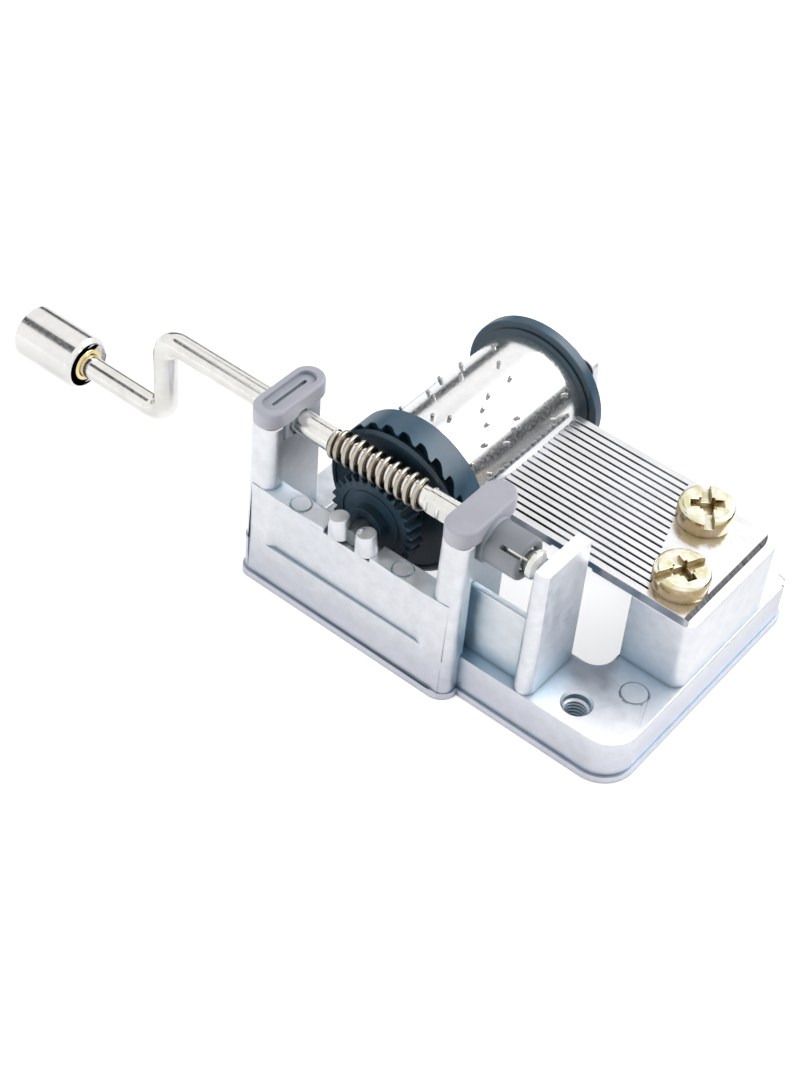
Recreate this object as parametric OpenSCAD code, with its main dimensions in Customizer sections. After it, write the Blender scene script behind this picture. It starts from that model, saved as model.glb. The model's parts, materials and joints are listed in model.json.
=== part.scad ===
// Hand-cranked eighteen-note music box movement: a die-cast bedplate with two bearing posts,
// a crank shaft with a wound worm, a pinned cylinder on a fixed arbor, and a steel comb.
// Millimetres. +X runs along the crank shaft towards the comb, +Y from the crank side to the
// far side, +Z up. The origin is the centre of the bedplate's underside.

/* [Cylinder] */
// Height of the cylinder's arbor above the underside
axis_height = 14.0; // [13.6:0.1:15]
// Radius of the chromed barrel
barrel_radius = 7.08; // [6.6:0.02:7.4]
// Thickness of the barrel's wall
barrel_wall = 0.48; // [0.3:0.02:0.9]
// Radius of the smooth flanges at both ends of the barrel
flange_radius = 8.74; // [8.3:0.02:8.9]
// Width of the near flange's band, with its notched front edge
near_flange_width = 3.69; // [3:0.01:4]
// Width of the far flange
far_flange_width = 1.45; // [1.2:0.05:2]
// Number of notches in the front edge of the near flange
crown_notches = 24; // [20:1:28]
// How far the notches reach back from the near flange's front edge
notch_reach = 0.9; // [0.6:0.05:1.2]
// Thickness of the near flange's rim, through which the notches are cut
crown_wall = 1.05; // [0.8:0.05:1.4]
// Radius of the steel arbor
arbor_radius = 1.0; // [0.8:0.05:1.1]
// Radius of one tune pin
pin_radius = 0.26; // [0.18:0.01:0.3]
// Gap between the ends of the pins and the comb's teeth
pin_gap = 0.08; // [0.05:0.01:0.2]

/* [Comb] */
// Pitch of the comb's eighteen teeth
comb_pitch = 0.95; // [0.9:0.01:1]
// Width of the slot between two teeth
slot_width = 0.28; // [0.2:0.01:0.36]
// Length of the comb from the tips to the back edge
comb_length = 25.7; // [25.2:0.1:27]
// Length of the comb's long teeth, at the near side
bass_length = 18.4; // [17.6:0.1:18.8]
// Length of the comb's shortest tooth, at the far side
treble_length = 15.0; // [14:0.1:16]
// Thickness of the comb
comb_thickness = 1.15; // [0.9:0.05:1.4]
// Height of the comb's top above the arbor
comb_rise = 2.05; // [1.9:0.05:2.4]
// Gap between the tips and the barrel
tip_gap = 0.4; // [0.35:0.01:0.7]
// Thickness that is left at the tips
tip_thickness = 0.6; // [0.4:0.05:0.8]
// Radius of the comb's rounded far corner
comb_corner = 2.8; // [1:0.1:3.4]
// Radius of the comb screws' heads
screw_head_radius = 2.9; // [2.5:0.05:3.1]
// Height of the comb screws' heads
screw_head_height = 1.8; // [1.2:0.1:2.2]

/* [Worm drive] */
// Axial pitch of the worm, which is also the tooth pitch of the drive wheel
worm_pitch = 1.144; // [1.1:0.004:1.18]
// Number of teeth on the drive wheel
wheel_teeth = 28; // [27:1:29]
// Face width of the drive wheel
wheel_width = 2.0; // [1.4:0.1:2.4]
// Thickness of the wire that forms the worm
worm_wire = 0.65; // [0.56:0.01:0.68]
// Radius of the shaft's core under the worm
worm_core = 1.18; // [1.1:0.01:1.3]
// Gap between the worm and each flank of a wheel tooth
mesh_gap = 0.05; // [0.04:0.01:0.08]

/* [Crank] */
// Radius of the crank wire
shaft_radius = 1.35; // [1.32:0.01:1.42]
// Distance from the left post to the crank arm
crank_reach = 16.2; // [12:0.1:24]
// Distance between the shaft and the handle pin
arm_length = 11.45; // [8:0.05:16]
// Radius of the wire's bends, at its centre line
bend_radius = 2.5; // [2:0.1:3.6]
// Distance from the arm to the knob
knob_standoff = 12.5; // [8:0.1:16]
// Length of the knob
knob_length = 8.2; // [6:0.1:14]
// Radius of the knob
knob_radius = 3.2; // [2.9:0.05:4.5]

/* [Bedplate] */
// Height of the bedplate's deck
deck_height = 5.7; // [4.8:0.1:6]
// Width of a bearing post along the shaft
post_width = 3.5; // [3:0.1:3.8]
// Distance from the shaft to the back of a post
post_back = 4.0; // [3.6:0.1:4.6]
// Distance from the bedplate's front to the shaft
shaft_setback = 5.5; // [5.4:0.05:6]
// Depth of the front wall, whose top is the ledge
ledge_depth = 3.0; // [2.6:0.1:3.1]
// How far the right part of the bedplate stands back from the front wall
deck_setback = 2.1; // [1.4:0.1:2.4]
// Height of the low wall between the right post and the end rib
low_wall_height = 14.8; // [10:0.1:16]
// Height of the end rib
rib_height = 22.8; // [21:0.1:25]
// Distance from the bedplate's right end to the middle of the end rib
rib_setback = 12.4; // [12:0.1:12.8]
// Height of the lip round the foot
lip_height = 0.95; // [0.6:0.05:1.4]
// How far the lip stands out
lip_width = 0.3; // [0.1:0.05:0.5]
// Core radius of the threaded mounting hole, for an M3 screw
mount_radius = 1.25; // [1.2:0.01:1.3]

/* [Bearing caps] */
// Thickness of the caps
cap_thickness = 1.83; // [1.4:0.01:2.4]
// Width of the caps
cap_width = 3.56; // [3.2:0.02:4]
// Length of the caps
cap_length = 9.0; // [8:0.1:9.4]
// Radius of the split collet on the right cap
collet_radius = 2.4; // [2.2:0.05:2.6]
// Length of the split collet
collet_length = 4.4; // [3.4:0.1:4.8]

/* [Hidden] */
$fn = 48;
running_gap = 0.05;             // a turning piece on its shaft
seat_gap = 0.02;                // a still piece in its seat
side_gap = 0.3;                 // a turning piece beside a still one
notes = 18;

// Heights
wheel_pitch_radius = wheel_teeth * worm_pitch / (2 * PI);
coil_radius = worm_core + seat_gap + worm_wire / 2;
worm_radius = coil_radius + worm_wire / 2;
shaft_z = axis_height + wheel_pitch_radius + coil_radius;
comb_top = axis_height + comb_rise;
comb_under = comb_top - comb_thickness;
post_top = shaft_z + 1.15;
ledge_z = axis_height - 0.4;
fork_seat = 0.6;                // the fork's seat lies this far below the ledge

// Places along Y, from the front
shaft_y = -12.0;
y_front = shaft_y - shaft_setback;
ledge_back = y_front + ledge_depth;
deck_front = y_front + deck_setback;
ring_front = shaft_y + worm_radius + 0.65;
rim_width = 0.35;
rim_back = ring_front + rim_width;
flange_front = rim_back + 0.4;
barrel_front = flange_front + near_flange_width;
comb_front = barrel_front + 0.96;
comb_back = comb_front + notes * comb_pitch;
barrel_back = comb_back + 1.55;
far_flange_back = barrel_back + far_flange_width;
rear_post_front = far_flange_back + side_gap;
rear_post_depth = 1.2;
y_back = rear_post_front + rear_post_depth;

// Places along X, from the cylinder's axis
axis_x = -10.08;
post_clear = 1.88;
left_post_x = axis_x - flange_radius - post_clear - post_width;
x_left = left_post_x;
right_post_x = axis_x + flange_radius + post_clear + 0.31;
right_post_end = right_post_x + post_width;
tip_x = axis_x + barrel_radius + tip_gap;
comb_end = tip_x + comb_length;
x_right = comb_end + 1.1;
block_end = comb_end + 0.8;
root_near = tip_x + bass_length;
root_far = tip_x + treble_length;
straight_slots = 6;
block_left_near = root_near + 0.7;
block_left_far = root_far + 0.5;
block_bend_y = comb_front + straight_slots * comb_pitch + 0.9;
block_front = comb_front;
block_back = comb_back - 0.5;
rib_middle = x_right - rib_setback;
rib_foot = [rib_middle - 1.2, rib_middle + 1.2];
rib_top = [rib_middle - 0.6, rib_middle + 1.0];
window_left = x_left + 4.4;
window_back = barrel_back - 1.95;
window_near = ring_front + 2.4;
screw_near = [x_right - 4.4, comb_front + 3.6];
screw_far = [x_right - 7.7, comb_back - 4.1];
mount_at = [x_right - 7.15, deck_front + 3.1];

// Crank
arm_x = x_left - crank_reach;
pin_z = shaft_z - arm_length;
knob_x = arm_x - knob_standoff;
knob_end = knob_x - knob_length;
head_radius = 1.6;
bush_radius = 1.95;
worm_left = axis_x - 6.2;
worm_right = axis_x + 6.38;
collet_end = right_post_end + 0.05 + collet_length;

// Colours
zinc = [0.80, 0.82, 0.85];
nylon = [0.72, 0.71, 0.75];
steel = [0.75, 0.74, 0.72];
dark_plastic = [0.13, 0.18, 0.20];
chrome = [0.88, 0.88, 0.88];
brass = [0.80, 0.64, 0.32];

// A bar along X, Y or Z from a point
module along_x(at, length, r) {
    translate(at) rotate([0, 90, 0]) cylinder(h = length, r = r);
}

module along_y(y, length, r1, r2) {
    translate([axis_x, y, axis_height]) rotate([-90, 0, 0]) cylinder(h = length, r1 = r1, r2 = r2);
}

module box(low, high) {
    translate(low) cube(high - low);
}

// A rectangle with its own radius at each corner
module corner_cut(at, inward, r) {
    if (r > 0)
        difference() {
            translate([at[0] - (inward[0] > 0 ? 1 : r), at[1] - (inward[1] > 0 ? 1 : r)])
                square([r + 1, r + 1]);
            translate([at[0] + inward[0] * r, at[1] + inward[1] * r]) circle(r);
        }
}

module corner_rect(low, high, front_left, front_right, back_right, back_left) {
    difference() {
        translate(low) square(high - low);
        corner_cut(low, [1, 1], front_left);
        corner_cut([high[0], low[1]], [-1, 1], front_right);
        corner_cut(high, [-1, -1], back_right);
        corner_cut([low[0], high[1]], [1, -1], back_left);
    }
}

// Bedplate
module foot_plan(grow, height) {
    linear_extrude(height) {
        corner_rect([x_left - grow, y_front - grow], [right_post_end + grow, deck_front + 4],
            1.2 + grow, 1.8 + grow, 0, 0);
        corner_rect([x_left - grow, deck_front - grow], [x_right + grow, y_back + grow],
            0, 3.7 + grow, 1.5 + grow, 1.5 + grow);
    }
}

module window() {
    translate([0, 0, -1]) linear_extrude(deck_height + 2) {
        corner_rect([window_left, ledge_back], [right_post_x - 0.5, window_near + 3], 0, 1, 0, 0);
        corner_rect([window_left, window_near], [block_left_near - 0.1, window_back], 0, 2.2, 0, 2);
    }
}

module front_wall() {
    difference() {
        box([x_left + 1, y_front, 0], [right_post_end - 1, ledge_back, ledge_z]);
        // The panel between the posts stands back above a step
        box([left_post_x + post_width, y_front - 1, deck_height + 0.6],
            [right_post_x, y_front + 0.4, ledge_z + 1]);
        box([axis_x - 3.05, y_front - 1, ledge_z - fork_seat], [axis_x + 3.05, ledge_back + 1, ledge_z + 1]);
    }
    // Two round marks on the ledge
    for (x = [left_post_x + post_width + 3.5, right_post_x - 4.3])
        translate([x, ledge_back - 1.4, ledge_z - 1]) cylinder(h = 1.15, r = 1.05);
}

module bearing_post(x) {
    lean = 2.4;
    edge = 1.2;
    back = shaft_y + post_back;
    channel_front = y_front + 2.5;
    difference() {
        intersection() {
            translate([x, y_front, 0]) rotate([-lean, 0, 0]) translate([0, 0, -1])
                linear_extrude(post_top + 3)
                    corner_rect([0, 0], [post_width, post_back + shaft_setback + 3], edge, edge, 0, 0);
            box([x - 1, y_front - 2, 0], [x + post_width + 1, back, post_top]);
        }
        // Channel down the right side
        box([x + post_width - 0.8, channel_front, deck_height], [x + post_width + 1, back + 1, post_top + 1]);
        // Notch for the bearing
        box([x - 1, shaft_y - 2.1, shaft_z - 1.75], [x + post_width + 1, shaft_y + 2.1, post_top + 1]);
    }
}

module end_rib() {
    lean = 1.3;
    back = shaft_y + 4.7;
    intersection() {
        // Tapered from foot to top along the shaft
        translate([0, back + 1, 0]) rotate([90, 0, 0]) linear_extrude(back + 2 - deck_front)
            polygon([[rib_foot[0], 0], [rib_foot[1], 0], [rib_foot[1], deck_height],
                [rib_top[1], rib_height], [rib_top[0], rib_height], [rib_foot[0], deck_height]]);
        linear_extrude(rib_height)
            corner_rect([rib_foot[0], deck_front - 1], [rib_foot[1], back], 0, 0, 0.6, 0.6);
        // The rounded front leans back
        translate([0, deck_front, 0]) rotate([-lean, 0, 0]) translate([0, 0, -1]) linear_extrude(rib_height + 3)
            corner_rect([rib_foot[0], 0], [rib_foot[1], back - deck_front + 2], 1.15, 1.15, 0, 0);
    }
}

module comb_block() {
    intersection() {
        linear_extrude(comb_under)
            corner_rect([block_left_far, block_front], [block_end, block_back], 1, 1.3, 1.3, 0.6);
        linear_extrude(comb_under)
            polygon([[block_left_near, block_front - 1], [block_end + 1, block_front - 1],
                [block_end + 1, block_back + 1], [block_left_far, block_back + 1],
                [block_left_far, block_back], [block_left_near, block_bend_y]]);
    }
}

module arbor_fork() {
    // Two studs, staked over the front end of the arbor
    for (side = [-1, 1])
        difference() {
            translate([axis_x + side * (arbor_radius + 0.775), y_front + 1.2, ledge_z - 1])
                cylinder(h = 3.4, r = 0.725);
            translate([axis_x + side * (arbor_radius + 0.775), y_front + 1.2, ledge_z + 2.2])
                rotate([0, side * 18, 0]) translate([-2, -2, 0]) cube([4, 4, 3]);
        }
}

module rear_post() {
    // Its right shoulder stands just outside the far flange
    shoulder = [axis_x + 6.6, axis_height + 6.5];
    translate([0, y_back, 0]) rotate([90, 0, 0]) linear_extrude(rear_post_depth) {
        translate([axis_x, axis_height]) circle(2.6);
        translate([shoulder[0] - 1, shoulder[1] - 1]) circle(1);
        polygon([[axis_x - 4, 0], [axis_x + 7.4, 0], [shoulder[0], shoulder[1] - 1],
            [shoulder[0] - 1, shoulder[1]], [shoulder[0] - 4, shoulder[1]], [axis_x - 2.6, axis_height]]);
    }
}

module bedplate_solid() {
    difference() {
        union() {
            foot_plan(0, deck_height);
            foot_plan(lip_width, lip_height);
        }
        window();
        // Trough in the back rail under the far flange
        along_y(window_back - 1, rear_post_front - window_back + 1, flange_radius + 0.35, flange_radius + 0.35);
    }
    front_wall();
    bearing_post(left_post_x);
    bearing_post(right_post_x);
    box([right_post_end - 1, y_front + 3.6, deck_height - 1],
        [rib_middle, y_front + 4.5, low_wall_height]);
    end_rib();
    comb_block();
    arbor_fork();
    rear_post();
    // Round mark on the deck
    translate([x_right - 3.5, deck_front + 8.1, deck_height - 1]) cylinder(h = 1.1, r = 1.38);
}

module bedplate() {
    color(zinc)
    difference() {
        bedplate_solid();
        // Seats of the arbor
        along_y(y_front - 1, ledge_depth + 2, arbor_radius + seat_gap, arbor_radius + seat_gap);
        along_y(rear_post_front - 1, rear_post_depth + 2, arbor_radius + seat_gap, arbor_radius + seat_gap);
        // Threaded mounting hole with its countersink
        translate([mount_at[0], mount_at[1], -1]) cylinder(h = deck_height + 2, r = mount_radius);
        translate([mount_at[0], mount_at[1], deck_height - 0.5])
            cylinder(h = 0.5, r1 = mount_radius, r2 = mount_radius + 0.5);
        // Holes of the comb screws
        for (at = [screw_near, screw_far])
            translate([at[0], at[1], comb_under - 6.2]) cylinder(h = 7, r = 1.5);
        // The casting is cored from below, round a boss
        difference() {
            translate([0, 0, -1]) linear_extrude(4)
                corner_rect([right_post_end + 1, deck_front + 1.7], [x_right - 1.9, window_near - 1.7],
                    1, 2, 1, 1);
            translate([mount_at[0], mount_at[1], -1]) cylinder(h = 5, r = mount_radius + 1.7);
        }
        translate([0, 0, -1]) linear_extrude(4.5)
            corner_rect([block_left_near + 1.6, block_front + 1.7], [block_end - 1.6, block_back - 1.7],
                1, 1, 1, 1);
    }
}

module cylinder_arbor() {
    color(steel) along_y(y_front + 1, y_back - y_front - 1.2, arbor_radius, arbor_radius);
}

// Bearings of the crank shaft
module stadium(width, length) {
    for (side = [-1, 1])
        translate([0, side * (length - width) / 2]) circle(width / 2);
    square([width, length - width], center = true);
}

module cap_blank(x) {
    middle = x + post_width / 2;
    translate([middle, shaft_y - 0.1, post_top]) linear_extrude(cap_thickness) stadium(cap_width, cap_length);
    // Block in the post's notch
    box([x + 0.15, shaft_y - 2.05, shaft_z - 1.7], [x + post_width - 0.35, shaft_y + 2.05, post_top + 0.5]);
}

module left_bearing_cap() {
    middle = left_post_x + post_width / 2;
    top = post_top + cap_thickness;
    color(nylon)
    difference() {
        cap_blank(left_post_x);
        along_x([left_post_x - 1, shaft_y, shaft_z], post_width + 2, shaft_radius + running_gap);
        // Sunken top with a narrow slot in its middle
        translate([middle, shaft_y - 0.1, top - 0.35]) linear_extrude(1)
            stadium(cap_width - 1.5, cap_length - 1.9);
        translate([middle, shaft_y - 0.1, top - 0.7]) linear_extrude(1)
            stadium(0.4, cap_length - 4);
    }
}

module right_bearing_cap() {
    color(nylon)
    difference() {
        union() {
            cap_blank(right_post_x);
            box([right_post_end - 1, shaft_y - 2.05, shaft_z - 1.7],
                [right_post_end + 0.5, shaft_y + 2.05, post_top - 0.1]);
            along_x([right_post_end + 0.05, shaft_y, shaft_z], collet_length, collet_radius);
        }
        along_x([right_post_x - 1, shaft_y, shaft_z], post_width + collet_length + 3,
            shaft_radius + running_gap);
        // The collet is split so that it can spring over the shaft's head
        box([right_post_end + 1.2, shaft_y - 4, shaft_z - 0.25],
            [collet_end + 1, shaft_y + 4, shaft_z + 0.25]);
    }
}

// Comb
function slot_y(k) = comb_front + (k + 1) * comb_pitch;
function slot_root(k) = k < straight_slots ? root_near
    : root_near - (root_near - root_far) * (k - straight_slots + 1) / (notes - 1 - straight_slots);
function note_y(k) = comb_front + (k + 0.5) * comb_pitch;

module comb() {
    color(steel)
    difference() {
        translate([0, 0, comb_under]) linear_extrude(comb_thickness)
            corner_rect([tip_x, comb_front], [comb_end, comb_back], 0, 0.5, comb_corner, 0);
        for (k = [0 : notes - 2])
            box([tip_x - 1, slot_y(k) - slot_width / 2, comb_under - 1],
                [slot_root(k), slot_y(k) + slot_width / 2, comb_top + 1]);
        // The tips are bevelled from below
        translate([0, comb_back + 1, 0]) rotate([90, 0, 0]) linear_extrude(comb_back - comb_front + 2)
            polygon([[tip_x - 1, comb_under - 1], [tip_x + 2.2, comb_under - 1], [tip_x + 1.2, comb_under],
                [tip_x, comb_top - tip_thickness], [tip_x - 1, comb_top - tip_thickness]]);
        // The teeth are ground thinner behind the weights
        box([tip_x + 9, comb_front - 1, comb_under - 1], [root_far - 0.8, comb_back + 1, comb_under + 0.3]);
        // The back edge is bevelled
        translate([comb_end - 0.45, comb_front - 1, comb_top]) rotate([0, 45, 0])
            cube([2, comb_back - comb_front + 2, 2]);
        for (at = [screw_near, screw_far])
            translate([at[0], at[1], comb_under - 1]) cylinder(h = comb_thickness + 2, r = 1.7);
    }
}

module comb_weights() {
    color(steel)
    for (k = [0 : 7])
        box([tip_x + 1.9, note_y(k) - 0.27, comb_under - 1.9 + 0.17 * k],
            [tip_x + 7.6 - 0.5 * k, note_y(k) + 0.27, comb_under]);
}

module comb_dampers() {
    color(dark_plastic)
    for (k = [8 : notes - 1])
        box([tip_x + 1.4, note_y(k) - 0.24, comb_under - 0.1], [tip_x + 3.2, note_y(k) + 0.24, comb_under]);
}

module comb_screws() {
    color(brass)
    for (screw = [[screw_near, 64.5], [screw_far, 128]])
        translate([screw[0][0], screw[0][1], comb_top]) rotate([0, 0, screw[1] - 90])
            difference() {
                union() {
                    intersection() {
                        cylinder(h = screw_head_height, r = screw_head_radius);
                        translate([0, 0, screw_head_height - 4.4]) sphere(4.4);
                    }
                    translate([0, 0, -7]) cylinder(h = 7, r = 1.42);
                }
                // Cross recess with one long slot
                translate([-0.37, -screw_head_radius, screw_head_height - 0.8]) cube([0.74, 2 * screw_head_radius, 2]);
                translate([-1.7, -0.35, screw_head_height - 1]) cube([3.4, 0.7, 2]);
            }
}

// Crank
module bend(at, turn) {
    translate(at) rotate([90, turn, 0]) rotate_extrude(angle = 90) translate([bend_radius, 0]) circle(shaft_radius);
}

module crank_shaft() {
    elbow_x = arm_x + bend_radius;
    flat = 1.1;
    color(steel) {
        difference() {
            union() {
                along_x([elbow_x, shaft_y, shaft_z], worm_left - elbow_x, shaft_radius);
                along_x([worm_left, shaft_y, shaft_z], worm_right - worm_left, worm_core);
                along_x([worm_right, shaft_y, shaft_z], collet_end - 0.3 - worm_right, shaft_radius);
            }
            // Flats squeezed into the shaft beside the worm
            for (x = [worm_right + 0.5, worm_right + 2])
                for (side = [-1, 1])
                    translate([x, shaft_y + side * (flat + 1) - 1, shaft_z - 2]) cube([1.1, 2, 4]);
        }
        along_x([collet_end - 0.3, shaft_y, shaft_z], 0.8, 1.1);
        translate([collet_end + 0.25, shaft_y, shaft_z]) rotate([0, 90, 0]) {
            cylinder(h = 0.25, r1 = head_radius - 0.3, r2 = head_radius);
            translate([0, 0, 0.25]) cylinder(h = 0.6, r = head_radius);
            translate([0, 0, 0.85]) cylinder(h = 0.5, r1 = head_radius, r2 = head_radius - 0.5);
        }
        bend([elbow_x, shaft_y, shaft_z - bend_radius], -90);
        translate([arm_x, shaft_y, pin_z + bend_radius]) cylinder(h = arm_length - 2 * bend_radius, r = shaft_radius);
        bend([arm_x - bend_radius, shaft_y, pin_z + bend_radius], 90);
        along_x([knob_end + 1.1, shaft_y, pin_z], arm_x - bend_radius - knob_end - 1.1, shaft_radius);
        // Upset end that holds the knob
        along_x([knob_end + 0.3, shaft_y, pin_z], 0.8, bush_radius);
    }
}

// The worm: wire wound on the shaft's core, its first turn closed
section_points = 8;
turn_steps = 20;
closed_pitch = worm_wire + 0.05;
first_open = worm_left + worm_wire / 2 + 0.02 + closed_pitch;
open_turns = (worm_right - worm_wire / 2 - 0.02 - first_open) / worm_pitch;
wind_steps = ceil((1 + open_turns) * turn_steps);
// A groove of the worm faces the wheel's axis where a tooth stands
mesh_phase = -90 - 360 * (1 + (axis_x - first_open) / worm_pitch);

function wind_turn(i) = (1 + open_turns) * i / wind_steps;
function wind_x(t) = t < 1 ? first_open + (t - 1) * closed_pitch : first_open + (t - 1) * worm_pitch;
function wind_point(i, j) =
    let (t = wind_turn(i), a = mesh_phase + 360 * t, b = 360 * (j + 0.5) / section_points,
        r = coil_radius + worm_wire / 2 * cos(b))
    [wind_x(t) + worm_wire / 2 * sin(b), shaft_y + r * cos(a), shaft_z + r * sin(a)];

module crank_worm() {
    points = [for (i = [0 : wind_steps]) for (j = [0 : section_points - 1]) wind_point(i, j)];
    sides = [for (i = [0 : wind_steps - 1]) for (j = [0 : section_points - 1])
        let (a = i * section_points + j, b = i * section_points + (j + 1) % section_points)
        each [[a, a + section_points, b + section_points], [a, b + section_points, b]]];
    last = wind_steps * section_points;
    ends = [[for (j = [0 : section_points - 1]) j],
        [for (j = [section_points - 1 : -1 : 0]) last + j]];
    color(steel) polyhedron(points, concat(sides, ends));
}

module crank_knob() {
    chamfer = 0.5;
    color(steel)
    difference() {
        union() {
            translate([knob_end, shaft_y, pin_z]) rotate([0, 90, 0])
                cylinder(h = chamfer, r1 = knob_radius - chamfer, r2 = knob_radius);
            along_x([knob_end + chamfer, shaft_y, pin_z], knob_length - 2 * chamfer, knob_radius);
            translate([knob_x - chamfer, shaft_y, pin_z]) rotate([0, 90, 0])
                cylinder(h = chamfer, r1 = knob_radius, r2 = knob_radius - chamfer);
        }
        along_x([knob_end - 1, shaft_y, pin_z], knob_length + 2, bush_radius + seat_gap);
        // Counterbores at both ends
        along_x([knob_end - 1, shaft_y, pin_z], 2.3, bush_radius + 0.3);
        along_x([knob_x - 1.2, shaft_y, pin_z], 2, knob_radius - 0.6);
    }
}

module knob_bush() {
    color(brass)
    difference() {
        along_x([knob_end + 1.3, shaft_y, pin_z], knob_length - 1.1, bush_radius);
        along_x([knob_end, shaft_y, pin_z], knob_length + 2, shaft_radius + running_gap);
    }
}

// Cylinder
module arbor_bore() {
    along_y(y_front - 5, y_back - y_front + 10, arbor_radius + running_gap, arbor_radius + running_gap);
}

// Flanks of a wheel tooth, with the round wire of the worm running between two of them
tooth_half = (worm_pitch - worm_wire) / 2 - mesh_gap;
tooth_rise = 0.3;
root_radius = wheel_pitch_radius - worm_wire / 2 - 0.1;
lead_angle = atan(worm_pitch / (2 * PI * coil_radius));

module wheel_tooth() {
    slope = 0.25;
    drop = wheel_pitch_radius - root_radius;
    rotate([0, 0, -lead_angle]) translate([0, wheel_width / 2, 0]) rotate([90, 0, 0]) linear_extrude(wheel_width)
        polygon([[-tooth_half - slope * (drop + 0.4), root_radius - 0.4],
            [tooth_half + slope * (drop + 0.4), root_radius - 0.4],
            [tooth_half, wheel_pitch_radius], [tooth_half - slope * tooth_rise, wheel_pitch_radius + tooth_rise],
            [-tooth_half + slope * tooth_rise, wheel_pitch_radius + tooth_rise], [-tooth_half, wheel_pitch_radius]]);
}

module drive_wheel() {
    front = shaft_y - wheel_width / 2;
    color(dark_plastic)
    difference() {
        union() {
            along_y(front, wheel_width, root_radius, root_radius);
            translate([axis_x, shaft_y, axis_height])
                for (k = [0 : wheel_teeth - 1])
                    rotate([0, 360 * (k + 0.5) / wheel_teeth, 0]) wheel_tooth();
            along_y(front - 1.1, 1.2, 2.1, 2.1);
            along_y(shaft_y, ring_front - shaft_y, 3.3, 3.3);
        }
        // Ring on the front face
        difference() {
            along_y(front - 1, 1.15, 3.9, 3.9);
            along_y(front - 2, 3, 3.5, 3.5);
        }
        arbor_bore();
    }
}

core_radius = flange_radius - crown_wall;

module gear_ring() {
    color(dark_plastic)
    difference() {
        union() {
            along_y(ring_front, rim_width, flange_radius - 0.44, flange_radius);
            along_y(ring_front, flange_front + 1.5 - ring_front, core_radius - seat_gap, core_radius - seat_gap);
        }
        // Dished front face inside the bevelled rim, round a hub
        difference() {
            along_y(ring_front - 1, 1.2, flange_radius - 0.8, flange_radius - 0.8);
            along_y(ring_front - 2, 3, 3.9, 3.9);
        }
        arbor_bore();
    }
}

// One notch, steep on its upper side, seen along the radius; the flange's front edge is at 0
module crown_notch() {
    pitch = 2 * PI * flange_radius / crown_notches;
    shape = [[-0.5, -0.3], [-0.5, 0], [-0.53, 0.88], [-0.45, 1], [-0.31, 1], [-0.18, 0.93], [-0.04, 0.74],
        [0.14, 0.42], [0.32, 0.08], [0.5, 0], [0.5, -0.3]];
    translate([0, 0, core_radius - 0.3]) linear_extrude(crown_wall + 1)
        polygon([for (p = shape) [0.98 * pitch * p[0], notch_reach * p[1]]]);
}

module near_flange() {
    color(dark_plastic)
    difference() {
        union() {
            along_y(flange_front, near_flange_width, flange_radius, flange_radius);
            along_y(flange_front, near_flange_width + 2, barrel_radius - barrel_wall - seat_gap,
                barrel_radius - barrel_wall - seat_gap);
        }
        // Seat of the gear ring
        along_y(flange_front - 1, 2.5 + seat_gap, core_radius, core_radius);
        translate([axis_x, flange_front, axis_height])
            for (k = [0 : crown_notches - 1])
                rotate([0, 360 * (k + 0.24) / crown_notches, 0]) crown_notch();
        arbor_bore();
    }
}

module cylinder_barrel() {
    color(chrome)
    difference() {
        along_y(barrel_front, barrel_back - barrel_front, barrel_radius, barrel_radius);
        along_y(barrel_front - 1, barrel_back - barrel_front + 2, barrel_radius - barrel_wall,
            barrel_radius - barrel_wall);
    }
}

// Pins: each note's places round the barrel, in sixtieths of a turn from the comb's side upwards
tip_reach = norm([barrel_radius + tip_gap, comb_rise - tip_thickness]);
pin_end = tip_reach - pin_gap;
pin_places = [
    [7, 33, 49], [16, 38, 55], [4, 14, 30, 46], [8, 25, 41, 58], [19, 35, 52], [10, 21, 44],
    [6, 12, 31, 50], [28, 47], [7, 13, 22, 36, 54], [8, 19, 42], [25, 39, 57], [21, 32, 48],
    [13, 29, 45], [16, 34, 53], [4, 40, 51], [27, 43, 56], [20, 37, 59], [6, 30, 46]
];

module tune_pins() {
    color(steel)
    for (k = [0 : notes - 1])
        for (place = pin_places[k])
            translate([axis_x, note_y(k), axis_height]) rotate([0, 90 - 6 * place, 0])
                translate([0, 0, barrel_radius - 0.3]) cylinder(h = pin_end - barrel_radius + 0.3, r = pin_radius, $fn = 16);
}

module far_flange() {
    seat_ring = 0.25;
    edge = 0.08;
    face = barrel_back + seat_ring;
    color(dark_plastic)
    difference() {
        union() {
            // The barrel butts against a raised ring on the flange's face
            along_y(barrel_back, edge, barrel_radius + 0.7 - edge, barrel_radius + 0.7);
            along_y(barrel_back + edge, seat_ring, barrel_radius + 0.7, barrel_radius + 0.7);
            along_y(face, edge, flange_radius - edge, flange_radius);
            along_y(face + edge, far_flange_width - seat_ring - edge, flange_radius, flange_radius);
            along_y(barrel_back - 2, 2.5, barrel_radius - barrel_wall - seat_gap,
                barrel_radius - barrel_wall - seat_gap);
        }
        arbor_bore();
    }
}

bedplate();
cylinder_arbor();
left_bearing_cap();
right_bearing_cap();
comb();
comb_weights();
comb_dampers();
comb_screws();
crank_shaft();
crank_worm();
crank_knob();
knob_bush();
drive_wheel();
gear_ring();
near_flange();
cylinder_barrel();
tune_pins();
far_flange();
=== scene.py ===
import json
from math import radians

import bpy
from mathutils import Matrix, Vector


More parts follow.
